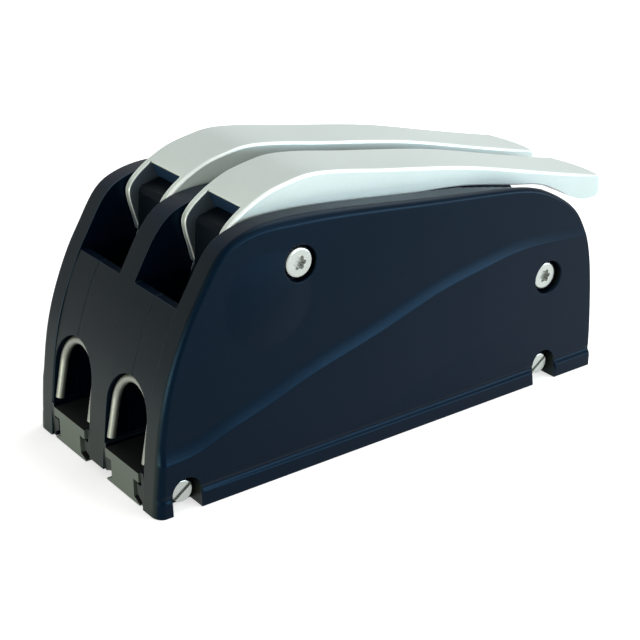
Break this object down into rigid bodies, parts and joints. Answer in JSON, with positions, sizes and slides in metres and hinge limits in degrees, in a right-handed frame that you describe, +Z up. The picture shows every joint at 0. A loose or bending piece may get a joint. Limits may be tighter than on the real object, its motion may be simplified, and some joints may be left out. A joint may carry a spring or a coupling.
{
  "type": "double rope clutch",
  "caption": "Two-line lever rope clutch: dark moulded body with rope arches, satin cast lift levers that raise toothed cams off the rope, on keyed deck plates.",
  "frame": {"origin": "on the deck plane, at the centre of the rectangle of deck bolts", "axes": "+X along the rope lines towards the lever tails and the winch, -X towards the rope arches; +Y across the lines; +Z up off the deck"},
  "size_m": [0.1804, 0.072, 0.088],
  "materials": {
    "wall_composite": "satin moulded composite",
    "plate_composite": "moulded fibre-filled composite",
    "cast_alloy": "satin cast, bead blasted and anodised",
    "dark_alloy": "black hard-anodised",
    "stainless": "turned stainless",
    "cam_steel": "cast stainless, machined teeth",
    "bearing_plastic": "plain acetal"
  },
  "bodies": {
    "frame": {"side_wall_near": "wall_composite", "side_wall_far": "wall_composite", "centre_wall": "wall_composite", "front_cheek_near": "wall_composite", "front_cheek_far": "wall_composite", "base_plate_1": "plate_composite", "base_plate_2": "plate_composite", "rope_pad_1": "cam_steel", "rope_pad_2": "cam_steel", "rope_guide_1": "stainless", "rope_guide_2": "stainless", "cam_spacer_1": "bearing_plastic", "cam_spacer_2": "bearing_plastic", "rear_guard_1": "plate_composite", "rear_guard_2": "plate_composite", "lever_axle": "stainless", "cam_axle": "stainless", "rear_axle": "stainless", "torx_screw_front_near": "stainless", "torx_screw_front_far": "stainless", "torx_screw_rear_near": "stainless", "torx_screw_rear_far": "stainless", "tie_screw_front_near": "stainless", "tie_screw_front_far": "stainless", "tie_screw_rear_near": "stainless", "tie_screw_rear_far": "stainless"},
    "lever_1": {"handle_1": "cast_alloy", "drive_block_1": "dark_alloy", "drive_pin_1": "stainless", "ear_washer_near_1": "stainless", "ear_washer_far_1": "stainless"},
    "jaw_1": {"cam_1": "cam_steel", "cam_bush_1": "bearing_plastic", "cam_spring_1": "stainless"},
    "lever_2": {"handle_2": "cast_alloy", "drive_block_2": "dark_alloy", "drive_pin_2": "stainless", "ear_washer_near_2": "stainless", "ear_washer_far_2": "stainless"},
    "jaw_2": {"cam_2": "cam_steel", "cam_bush_2": "bearing_plastic", "cam_spring_2": "stainless"}
  },
  "joints": [
    {"name": "lever_lift_1", "type": "hinge", "parent": "frame", "child": "lever_1", "pos_m": [-0.0462, -0.01575, 0.0571], "axis": [0, -1, 0], "range_deg": [0, 68]},
    {"name": "cam_lift_1", "type": "hinge", "parent": "frame", "child": "jaw_1", "pos_m": [-0.0352, -0.01575, 0.0657], "axis": [0, -1, 0], "range_deg": [0, 22]},
    {"name": "lever_lift_2", "type": "hinge", "parent": "frame", "child": "lever_2", "pos_m": [-0.0462, 0.01575, 0.0571], "axis": [0, -1, 0], "range_deg": [0, 68]},
    {"name": "cam_lift_2", "type": "hinge", "parent": "frame", "child": "jaw_2", "pos_m": [-0.0352, 0.01575, 0.0657], "axis": [0, -1, 0], "range_deg": [0, 22]}
  ],
  "couplings": [
    {"joint": "cam_lift_1", "follows": "lever_lift_1", "ratio": 0.3235},
    {"joint": "cam_lift_2", "follows": "lever_lift_2", "ratio": 0.3235}
  ]
}
